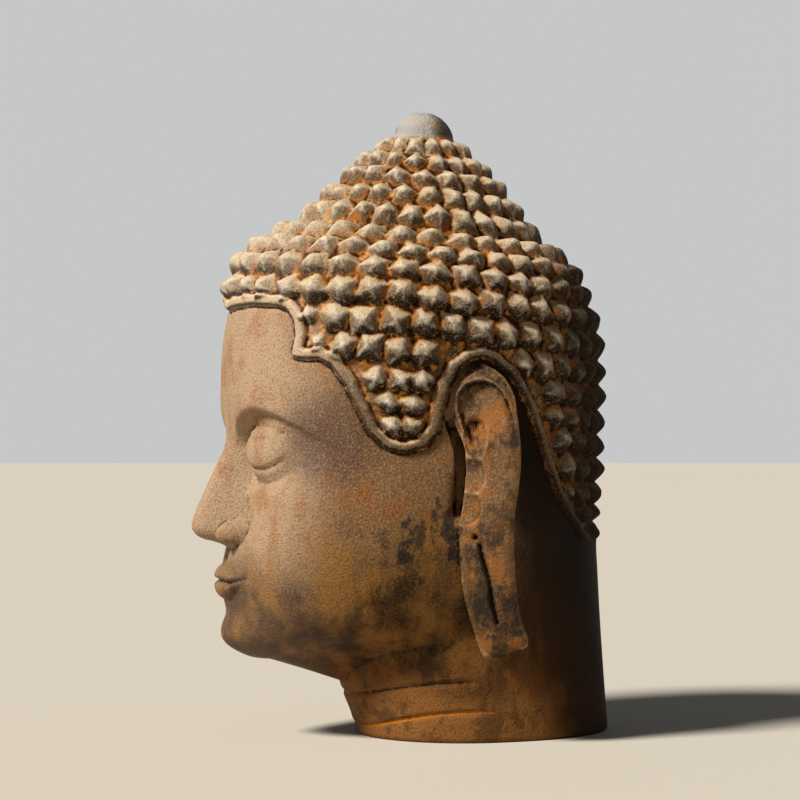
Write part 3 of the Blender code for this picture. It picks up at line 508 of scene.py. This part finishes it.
def curl_spots():
    """Every curl of the hair: its level, its turn, and its half width and half height."""
    levels, length = meridian()
    runs = [float(np.interp(row[0], levels, length)) for row in ROWS]
    spots = []
    for k, (level, count, first) in enumerate(ROWS):
        th, arc = ring_length(level)
        step = arc[-1] / count
        high = float(np.mean(np.diff(runs[max(k - 1, 0):k + 2])))
        for place in (np.arange(count) + first) * step:
            turn = float(np.interp(place, arc, th))
            if level > LOW_ROWS or abs(np.degrees(turn) - 180.0) < 180.0 - BEHIND_EARS:
                spots.append((level, turn, CURL_HALF[0] * step, CURL_HALF[1] * high))
    for deg, level in SIDEBURN:
        for turn in (np.radians(deg), np.radians(360.0 - deg)):
            spots.append((level, turn, SIDEBURN_HALF, SIDEBURN_HALF))
    return spots


def curl(du, dv, rng):
    """Height of one curl of radius 1: a blunt pyramid, its sides and its tip a little uneven."""
    sides = int(rng.integers(4, 6))
    facing = rng.uniform(0, 2 * np.pi) + 2 * np.pi * np.arange(sides) / sides
    reach = rng.uniform(0.90, 1.08, sides)
    tu, tv = rng.uniform(-0.18, 0.18, 2)
    flat = np.zeros(du.shape)
    for a, r in zip(facing, reach):
        nu, nv = np.cos(a), np.sin(a)
        flat = np.maximum(flat, ((du - tu) * nu + (dv - tv) * nv) / (r - tu * nu - tv * nv))
    d = FACET * flat + (1.0 - FACET) * np.hypot(du - tu, dv - tv)
    return np.maximum(1.0 - (d * d + BLUNT)**(0.5 * FULL), 0.0)


def curls(theta, run, levels, length):
    """Height of the curls above the scalp; each one has room inside the bead or is left out."""
    rng = np.random.default_rng(SEED)
    out = np.zeros(theta.shape)
    for level, turn, wide, high in curl_spots():
        at = float(np.interp(level, levels, length)) + rng.uniform(-ASKEW, ASKEW)
        turn = turn + rng.uniform(-ASKEW, ASKEW) / HALF_WIDE
        tall = CURL_TALL * min(1.0, min(wide, high) / CURL_TALL) * rng.uniform(0.92, 1.06)
        deg = abs(np.degrees((turn + np.pi) % (2 * np.pi) - np.pi))
        spot = (np.array([v]) for v in (deg, at, level))
        inside = hairline_side(*spot, levels, length)[0]
        fit = min(1.0, (inside - 0.5 * BEAD_WIDE + CURL_OVER) / min(wide, high))
        if fit < CURL_LEAST:
            continue
        sag = curve(level, SECTIONS, 2 if deg < 90.0 else 3) * np.sin(turn)
        around = np.hypot(curve(level, SECTIONS, 4) * np.cos(turn), sag)
        du = ((theta - turn + np.pi) % (2 * np.pi) - np.pi) * around / (wide * fit)
        dv = (run - at) / (high * fit)
        near = np.nonzero(np.maximum(np.abs(du), np.abs(dv)) < 1.25)
        out[near] = np.maximum(out[near], tall * fit * curl(du[near], dv[near], rng))
    return out


def hairline_side(deg, run, level, levels, length):
    """Distance inside the hairline, below 0 on the skin."""
    turn = [p[0] for p in HAIRLINE]
    line = [p[1] for p in HAIRLINE]
    around = np.radians(HALF_WIDE)
    side = path_distance(deg * around, run, np.array(turn) * around,
                         np.interp(line, levels, length))
    return np.where(level > np.interp(deg, turn, line), side, -side)


def hair_relief(theta, run, level, levels, length):
    """Height of the bead and the curls, and the distance inside the hairline."""
    deg = degrees_off_front(theta)
    side = hairline_side(deg, run, level, levels, length)
    half = 0.5 * BEAD_WIDE - 0.5 * smooth((deg - 62.0) / 26.0)
    bead = BEAD_PROUD * np.clip(1.0 - np.abs(side / half)**3, 0.0, None)**0.6
    bead -= 1.3 * groove(side + half + 0.6, 0.75) + 0.8 * groove(side - half - 0.7, 0.8)
    knob = smooth((KNOB_BASE - level) / 2.4)
    return bead + knob * curls(theta, run, levels, length), side


def head_points(theta, t):
    """Plain head by turn and share of the way from the throat to the knob, and its relief."""
    levels, length = meridian()
    s = t * (UNDERJAW + length[-1])
    under = np.clip(s / UNDERJAW, 0.0, 1.0)
    run = np.maximum(s - UNDERJAW, 0.0)
    jaw = curve(degrees_off_front(theta), JAW)
    blend = float(np.interp(JAW_BLEND, levels, length))
    level = np.where(run < blend, jaw + (JAW_BLEND - jaw) * np.minimum(run / blend, 1.0),
                     np.interp(run, length, levels))
    c, sn = np.cos(theta), np.sin(theta)
    square = SQUARE * smooth((SQUARE_BELOW - level) / 30.0) * smooth((c + 0.2) / 0.5)
    power = 2.0 / (2.0 + square)
    c, sn = np.sign(c) * np.abs(c)**power, np.sign(sn) * np.abs(sn)**power
    inset = JAW_INSET * rounding(level - jaw, JAW_ROUND)
    inset = inset * smooth((90.0 - degrees_off_front(theta)) / 45.0)
    deep = np.where(c > 0, curve(level, SECTIONS, 2), curve(level, SECTIONS, 3)) - inset
    x = (curve(level, SECTIONS, 4) - inset) * sn * under
    y = curve(level, SECTIONS, 1) - deep * c * under
    lean = HAIR_LEAN * smooth((level - LEAN_FROM) / LEAN_OVER)
    z = level + lean * deep * c
    hollow = jaw * under + UNDERJAW_LOW * (1.0 - under) + 4.0 * under * (1.0 - under)
    z = np.where(under < 1.0, hollow, z)
    face = smooth((np.cos(theta) - 0.05) / 0.25) * (under >= 1.0)
    y = y - face_depth(x, z) * face
    x = x - np.sign(x) * ear_channel(np.abs(x), y, z)
    relief, side = hair_relief(theta, np.interp(level, levels, length), level, levels, length)
    return x, y, z, np.where(under < 1.0, 0.0, relief), np.where(under < 1.0, OFF_HAIR, side)


def ear_middle(v):
    """Where the middle line of the ear's plane stands at a height: out, and forward or back."""
    out = curve(v, EAR_OUT)
    return out, (EAR_BACK - EAR_SLANT[0] * out) / EAR_SLANT[1]


def ear_channel(side, y, z):
    """Depth of the channel in front of the ear; it runs on under the ear's front edge."""
    low, front = [p[0] for p in EAR], [p[1] for p in EAR]
    behind = y - ear_middle(z)[1] - np.interp(z, low, front) * np.cos(EAR_FLARE)
    deep = smooth((z - CHANNEL_LOW) / 6.0) * smooth((CHANNEL_HIGH - z) / 10.0)
    across = smooth((behind + CHANNEL_WIDE + 0.6) / 1.4) * smooth((9.0 - behind) / 4.0)
    return CHANNEL_DEEP * deep * across * (side > 40.0)


def ear_relief(u, v):
    """Carving on the face of the ear above its plane."""
    low, front, back = (np.array(c) for c in zip(*EAR))
    edge = path_distance(u, v, np.concatenate([front, back[::-1], front[:1]]),
                         np.concatenate([low, low[::-1], low[:1]]))
    # broad bevel round the top, falling from the border of the hollow to the edge
    du, dv = (np.array(c) for c in zip(*DISH))
    border = path_distance(u, v, du, dv)
    within = in_outline(u, v, du, dv)
    top = smooth((v - 126.0) / 26.0)
    fall, wide = (a + b * top for a, b in zip(BEVEL, BEVEL_TOP))
    w = -fall * (1.0 - smooth(edge / wide))
    rim = RIM[0] * top * np.exp(-border / RIM[1])
    open_side = path_distance(u, v, du[[0, -1]], dv[[0, -1]])
    wall = smooth(border / HOLLOW_WALL) * smooth(open_side / 14.0)
    bowl = HOLLOW_DEEP[0] + HOLLOW_DEEP[1] * bell(u, v, *HOLLOW_PLACE)
    w += rim - np.where(within, (bowl + rim) * wall, 0.0)
    # ridge beside the pit, and the chiselled scoops below it
    slant = u + 1.6 + 0.22 * (v - 140.0)
    w += RIDGE[0] * groove(slant, RIDGE[1]) * bell(u, v, -2.0, 141.5, 9.0, 8.6)
    for su, sv, wide, tall, deep in SCOOPS:
        w -= deep * dome(u, v, su, sv, wide, tall, 0.36) * smooth((sv + tall - v) / 3.0)
    # slit of the lobe and the small hole above it
    line = np.interp(v, [p[0] for p in SLIT], [p[1] for p in SLIT])
    ends = smooth((SLIT[-1][0] + 1.0 - v) / 4.0) * smooth((v - SLIT[0][0] + 1.5) / 3.0)
    for deep, half, way in ((*SLIT_LIPS, 1.0), (*SLIT_CUT, -1.0)):
        w += way * deep * ends * groove(u - line, half)
    return w - 3.0 * bell(u, v, *HOLE, 1.4, 1.4)


def in_outline(u, v, pu, pv):
    """Whether points lie inside a closed outline."""
    inside = np.zeros(u.shape, bool)
    for a, b, c, d in zip(pu, pv, np.roll(pu, -1), np.roll(pv, -1)):
        if d != b:
            crossed = ((b > v) != (d > v)) & (u < a + (c - a) * (v - b) / (d - b))
            inside ^= crossed
    return inside


def ear_points(theta, t):
    """Left ear, its carved face outward and its root running into the head."""
    low, front, back = (np.array(c) for c in zip(*EAR))
    end = 0.1
    v = low[0] + (low[-1] - low[0]) * np.interp(t, [end, 0.86, 1.0], [0.0, 0.93, 1.0])
    fr, bk = np.interp(v, low, front), np.interp(v, low, back)
    half = 0.5 * (bk - fr) * np.minimum(t / end, 1.0)
    c, s = np.cos(theta), np.sin(theta)
    u = 0.5 * (fr + bk) + half * np.sign(s) * np.abs(s)**0.8
    wall = np.abs(c)**0.35
    root = smooth((np.minimum(u - fr, bk - u) - 3.2) / 2.6) * smooth((v - ROOT_LOW) / 4.0)
    middle = -0.5 * EAR_THICK
    face = np.maximum(ear_relief(u, v), EAR_LEAST - EAR_THICK - EAR_ROOT * root)
    inner = (-EAR_THICK - EAR_ROOT * root - middle) * wall
    w = middle + np.where(c > 0, (face - middle) * wall, inner)
    # the lobe is cut on a slant, and its cut face is bevelled inward
    cut = smooth((LOBE_CUT - v) / 16.0)
    z = v + cut * (LOBE_SLANT * (u + 1.5) + 0.5 * np.clip(w, -12.0, 0.0))
    out, y0 = ear_middle(v)
    x = out + u * np.sin(EAR_FLARE) + w * np.cos(EAR_FLARE)
    y = y0 + u * np.cos(EAR_FLARE) - w * np.sin(EAR_FLARE)
    return x, y, z


def neck_points(theta, t):
    """Neck from below the ground up into the head, with its two folds."""
    end = 0.08
    z = NECK[0][0] + (NECK_TOP - NECK[0][0]) * np.clip((t - end) / (1.0 - end), 0.0, 1.0)
    deg = degrees_off_front(theta)
    inset = FOOT_ROUND * rounding(z, FOOT_ROUND)
    for low, rise, depth, last in FOLDS:
        line = low + rise * smooth(deg / 80.0)
        inset = inset + depth * groove(z - line, 1.1) * smooth((last - deg) / 20.0)
    c, s = np.cos(theta), np.sin(theta)
    deep = np.where(c > 0, NECK_MIDDLE - curve(z, NECK, 1), curve(z, NECK, 2) - NECK_MIDDLE)
    spread = np.minimum(t / end, 1.0)
    x = (curve(z, NECK, 3) - inset) * s * spread
    return x, NECK_MIDDLE - (deep - inset) * c * spread, z


def read(me, what):
    values = np.empty(len(me.vertices) * 3)
    me.vertices.foreach_get(what, values)
    return values.reshape(-1, 3)


def put(me, x, y, z):
    me.vertices.foreach_set("co", (np.stack([x, y, z], -1) * PART).ravel())
    me.update()


def choose(*obs):
    """Select these objects and nothing else; the first is the active one."""
    bpy.ops.object.select_all(action="DESELECT")
    for ob in obs:
        ob.select_set(True)
    bpy.context.view_layer.objects.active = obs[0]


def apply(ob, name, kind, **settings):
    choose(ob)
    mod = ob.modifiers.new(name, kind)
    for key, value in settings.items():
        setattr(mod, key, value)
    bpy.ops.object.modifier_apply(modifier=mod.name)


def shell(name, around, up):
    """A sheet rolled to a tube of height 1 and drawn shut at both ends."""
    bpy.ops.object.select_all(action="DESELECT")
    bpy.ops.mesh.primitive_grid_add(x_subdivisions=around, y_subdivisions=up, size=2.0)
    ob = bpy.context.object
    ob.name = name
    me = ob.data
    co = read(me, "co")
    turn, t = np.pi * co[:, 0], 0.5 + 0.5 * co[:, 1]
    open_end = (t > 1e-5) & (t < 1 - 1e-5)
    ring = np.stack([np.sin(turn) * open_end, -np.cos(turn) * open_end, t], -1)
    me.vertices.foreach_set("co", ring.ravel())
    bpy.ops.object.mode_set(mode="EDIT")
    bpy.ops.mesh.select_all(action="SELECT")
    bpy.ops.mesh.remove_doubles(threshold=0.00001)
    bpy.ops.object.mode_set(mode="OBJECT")
    co = read(me, "co")
    return ob, np.arctan2(co[:, 0], -co[:, 1]), co[:, 2]


def model_head():
    """The head with face, bead and curls, and how far each point lies inside the hairline."""
    ob, theta, t = shell("head form", *HEAD_GRID)
    x, y, z, relief, side = head_points(theta, t)
    put(ob.data, x, y, z)
    out = read(ob.data, "normal")
    put(ob.data, x + out[:, 0] * relief, y + out[:, 1] * relief, z + out[:, 2] * relief)
    return ob, side


def model_neck():
    ob, theta, t = shell("neck form", *NECK_GRID)
    put(ob.data, *neck_points(theta, t))
    return ob


def model_ear(name, side):
    """side is 1 for the left ear and -1 for the right, whose turn runs the other way."""
    ob, theta, t = shell(name, *EAR_GRID)
    x, y, z = ear_points(theta * side, t)
    put(ob.data, side * x, y, z)
    return ob


def carry(points, values, me):
    """The values at the nearest of some points, for each point of a mesh."""
    tree = KDTree(len(points))
    for i, p in enumerate(points):
        tree.insert(p, i)
    tree.balance()
    near = np.array([tree.find(p)[1] for p in read(me, "co")])
    return [v[near] for v in values]


def standing_out(me, rounds):
    """How far each point stands out from its surroundings in mm, softened so many rounds."""
    points, out = read(me, "co"), read(me, "normal")
    ends = np.empty(len(me.edges) * 2, int)
    me.edges.foreach_get("vertices", ends)
    a, b = ends[0::2], ends[1::2]
    count = np.bincount(ends, minlength=len(points))[:, None]
    soft, marks = points.copy(), []
    for i in range(1, max(rounds) + 1):
        total = np.empty_like(soft)
        for k in range(3):
            total[:, k] = np.bincount(a, soft[b, k], len(soft))
            total[:, k] += np.bincount(b, soft[a, k], len(soft))
        soft = 0.5 * soft + 0.5 * total / count
        if i in rounds:
            marks.append(((points - soft) * out).sum(1) * 1000.0)
    return marks


def paint(me, name, values):
    layer = me.attributes.new(name, "FLOAT", "POINT")
    layer.data.foreach_set("value", np.asarray(values, np.float32))


def fair(ob, inside, ear):
    """Ease the crease behind the ears and under the hair, where the head runs into the neck."""
    x, y, z = (read(ob.data, "co") * 1000.0).T
    weight = smooth((z - FAIR_LOW) / 10.0) * smooth((FAIR_HIGH - z) / 20.0)
    weight *= smooth((y - FAIR_FRONT) / 20.0) * smooth((-4.0 - inside) / 5.0) * ~ear
    group = ob.vertex_groups.new(name="crease")
    for i in np.nonzero(weight > 0.01)[0]:
        group.add([int(i)], float(weight[i]), "REPLACE")
    apply(ob, "eased", "SMOOTH", vertex_group="crease", factor=0.7, iterations=30)
    ob.vertex_groups.clear()


def model_casting():
    """Head, neck and ears as one skin, cut flat below, its hollows and edges marked."""
    head, inside = model_head()
    neck = model_neck()
    ears = [model_ear("left ear form", 1), model_ear("right ear form", -1)]
    forms = [head, neck] + ears
    points = [read(ob.data, "co")[::2] for ob in forms]
    inside = [inside[::2]] + [np.full(len(p), OFF_HAIR) for p in points[1:]]
    kind = [np.full(len(p), k) for p, k in zip(points, (0, 1, 2, 2))]
    choose(*forms)
    bpy.ops.object.join()
    apply(head, "one skin", "REMESH", mode="VOXEL", voxel_size=VOXEL)
    dense = read(head.data, "co")
    marks = standing_out(head.data, (FINE_ROUNDS, FORM_ROUNDS))
    share = FACES / (2.0 * len(head.data.polygons))
    apply(head, "fewer faces", "DECIMATE", ratio=min(1.0, share))
    bpy.ops.object.mode_set(mode="EDIT")
    bpy.ops.mesh.select_all(action="SELECT")
    bpy.ops.mesh.bisect(plane_co=(0, 0, 0), plane_no=(0, 0, 1), clear_inner=True, use_fill=True,
                        threshold=0.000001)
    bpy.ops.mesh.select_all(action="SELECT")
    bpy.ops.mesh.quads_convert_to_tris()
    bpy.ops.object.mode_set(mode="OBJECT")
    me = head.data
    for name, values in zip(("fine", "form"), carry(dense, marks, me)):
        paint(me, name, values)
    values = [np.concatenate(inside), np.concatenate(kind)]
    inside, kind = carry(np.concatenate(points), values, me)
    paint(me, "hair", inside)
    paint(me, "ear", kind == 2)
    fair(head, inside, kind == 2)
    bpy.ops.object.shade_smooth_by_angle(angle=SHARP)
    head.name = me.name = "buddha_head"
    return head


def linear(hex_colour):
    """An sRGB hex colour as linear red, green, blue and alpha."""
    parts = [int(hex_colour[i:i + 2], 16) / 255 for i in (1, 3, 5)]
    parts = [p / 12.92 if p <= 0.04045 else ((p + 0.055) / 1.055)**2.4 for p in parts]
    return (*parts, 1.0)


def add(tree, kind, inputs=None, **settings):
    """A node with its settings, its inputs given a value or linked to a socket."""
    new = tree.nodes.new(kind)
    for key, value in settings.items():
        setattr(new, key, value)
    for key, value in (inputs or {}).items():
        if isinstance(value, bpy.types.NodeSocket):
            tree.links.new(value, new.inputs[key])
        else:
            new.inputs[key].default_value = value
    return new


def rusted_cast_iron():
    """Sand-cast iron left out to rust: a fine sandy grain, tan where light and hands reach it and
    brown below with painted shade under the jaw, orange rust dried between the curls, slate
    stains, tips rubbed to grey metal with painted highlight on them and on the tops of the hair,
    and painted shade in the hollows and crevices, under the curls, on the back of the hair and the
    knob, on the nape and behind the ears."""
    mat = bpy.data.materials.new("rusted cast iron")
    mat.use_nodes = True
    tree = mat.node_tree
    shader = tree.nodes["Principled BSDF"]
    place = add(tree, "ShaderNodeTexCoord").outputs["Object"]
    along = add(tree, "ShaderNodeSeparateXYZ", {0: place}).outputs
    facing = add(tree, "ShaderNodeNewGeometry").outputs["Normal"]
    facing = add(tree, "ShaderNodeSeparateXYZ", {0: facing}).outputs
    value = {"back": along["Y"], "level": along["Z"], "upward": facing["Z"]}
    value["out"] = add(tree, "ShaderNodeMath", {0: along["X"]}, operation="ABSOLUTE").outputs[0]
    for name in MARKS:
        value[name] = add(tree, "ShaderNodeAttribute", attribute_name=name).outputs["Fac"]

    # each pattern runs about 0, mostly from -0.2 to 0.2
    for name, size, tall, detail, seed in PATTERNS:
        at = add(tree, "ShaderNodeMapping", {"Vector": place, "Scale": (1.0, 1.0, 1.0 / tall)})
        noise = add(tree, "ShaderNodeTexNoise", {
            "Vector": at.outputs[0], "W": seed, "Scale": 1.0 / (0.001 * 2.0 * size),
            "Detail": detail, "Roughness": PATTERN_ROUGH}, noise_dimensions="4D")
        value[name] = add(tree, "ShaderNodeMath", {0: noise.outputs["Fac"], 1: 0.5},
                          operation="SUBTRACT").outputs[0]
    side = add(tree, "ShaderNodeCombineXYZ", {"X": value["out"], "Y": along["Y"], "Z": along["Z"]})
    for name, middle in SPOTS:
        value[name] = add(tree, "ShaderNodeVectorMath", {0: side.outputs[0], 1: middle},
                          operation="DISTANCE").outputs["Value"]

    # the coats are laid one over another, each only where all its steps let it lie
    colour, cover = linear(GROUND), {}
    for name, tint, most, steps in COATS:
        cover[name] = most
        for mark, none, full, sways in steps:
            amount = value[mark]
            for pattern, sway in sways:
                amount = add(tree, "ShaderNodeMath", {0: value[pattern], 1: sway, 2: amount},
                             operation="MULTIPLY_ADD").outputs[0]
            cover[name] = add(tree, "ShaderNodeMapRange", {
                "Value": amount, "From Min": none, "From Max": full, "To Max": cover[name]},
                interpolation_type="SMOOTHSTEP").outputs["Result"]
        colour = add(tree, "ShaderNodeMix", {0: cover[name], 6: colour, 7: linear(tint)},
                     data_type="RGBA").outputs[2]

    # sandy crust, rougher on the hair than on the face
    coarse = add(tree, "ShaderNodeMapRange", {"Value": cover["curls"], "To Min": CRUST_SKIN,
                                              "To Max": CRUST_CURLS})
    crust = add(tree, "ShaderNodeMath", {0: value["speck"], 1: coarse.outputs["Result"],
                                         2: value["grain"]}, operation="MULTIPLY_ADD")
    bump = add(tree, "ShaderNodeBump", {"Height": crust.outputs[0], "Distance": CRUST_DEEP,
                                        "Strength": 1.0})
    gloss = add(tree, "ShaderNodeMapRange", {"Value": cover["worn tips and painted highlight"], "To Min": ROUGH_RUST,
                                             "To Max": ROUGH_BARE})
    shine = add(tree, "ShaderNodeMapRange", {"Value": cover["tan"], "To Min": SHINE_DULL,
                                             "To Max": SHINE_RUBBED})
    metal = add(tree, "ShaderNodeMath", {0: cover["worn tips and painted highlight"], 1: METAL_BARE}, operation="MULTIPLY")
    for socket, output in (("Base Color", colour), ("Normal", bump.outputs["Normal"]),
                           ("Metallic", metal.outputs[0]), ("Roughness", gloss.outputs["Result"]),
                           ("Specular IOR Level", shine.outputs["Result"])):
        tree.links.new(output, shader.inputs[socket])
    return mat


def pale_board():
    """Matt painted board, rolled: even and pale, with no gloss."""
    mat = bpy.data.materials.new("matt pale board")
    mat.use_nodes = True
    shader = mat.node_tree.nodes["Principled BSDF"]
    shader.inputs["Base Color"].default_value = linear(FLOOR)
    shader.inputs["Roughness"].default_value = FLOOR_ROUGH
    return mat


def floor():
    bpy.ops.object.select_all(action="DESELECT")
    bpy.ops.mesh.primitive_circle_add(vertices=64, radius=FLOOR_HALF, fill_type="NGON")
    ob = bpy.context.object
    ob.name = "floor"
    ob.data.materials.append(pale_board())
    return ob


def look_from(ob, target, towards, distance):
    """Put a camera or a lamp at a distance from its target, facing it."""
    towards = Vector(towards).normalized()
    ob.location = Vector(target) + towards * distance
    ob.rotation_euler = towards.to_track_quat("Z", "Y").to_euler()


def soft_light():
    """Soft daylight from one side, as even over the floor as it is on the head."""
    light = bpy.data.lights.new("soft light", "SUN")
    light.energy = LIGHT_BRIGHT
    light.angle = LIGHT_WIDE
    light.color = linear(LIGHT_COLOUR)[:3]
    ob = bpy.data.objects.new("soft light", light)
    bpy.context.scene.collection.objects.link(ob)
    look_from(ob, MIDDLE, LIGHT_SIDE, LIGHT_FAR)


def camera():
    ob = bpy.data.objects.new("camera", bpy.data.cameras.new("camera"))
    bpy.context.scene.collection.objects.link(ob)
    ob.data.sensor_width = SENSOR
    ob.data.lens = SENSOR * CAMERA_FAR / FIELD
    look_from(ob, MIDDLE, CAMERA_SIDE, CAMERA_FAR)
    bpy.context.scene.camera = ob


def surroundings():
    """Pale studio near the level of the eye, under a dimmer ceiling."""
    world = bpy.data.worlds.new("pale studio")
    world.use_nodes = True
    tree = world.node_tree
    place = add(tree, "ShaderNodeTexCoord").outputs["Object"]
    up = add(tree, "ShaderNodeSeparateXYZ", {0: place}).outputs["Z"]
    bright = add(tree, "ShaderNodeMapRange", {
        "Value": up, "From Min": STUDIO_FADE[0], "From Max": STUDIO_FADE[1],
        "To Min": STUDIO_WALLS, "To Max": STUDIO_CEILING})
    back = tree.nodes["Background"]
    back.inputs["Color"].default_value = linear(STUDIO)
    tree.links.new(bright.outputs["Result"], back.inputs["Strength"])
    bpy.context.scene.world = world
    bpy.context.scene.view_settings.view_transform = "Standard"


camera()
surroundings()
soft_light()
floor()

head = model_casting()
head.data.materials.clear()
head.data.materials.append(rusted_cast_iron())
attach(head, "root")
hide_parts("head")
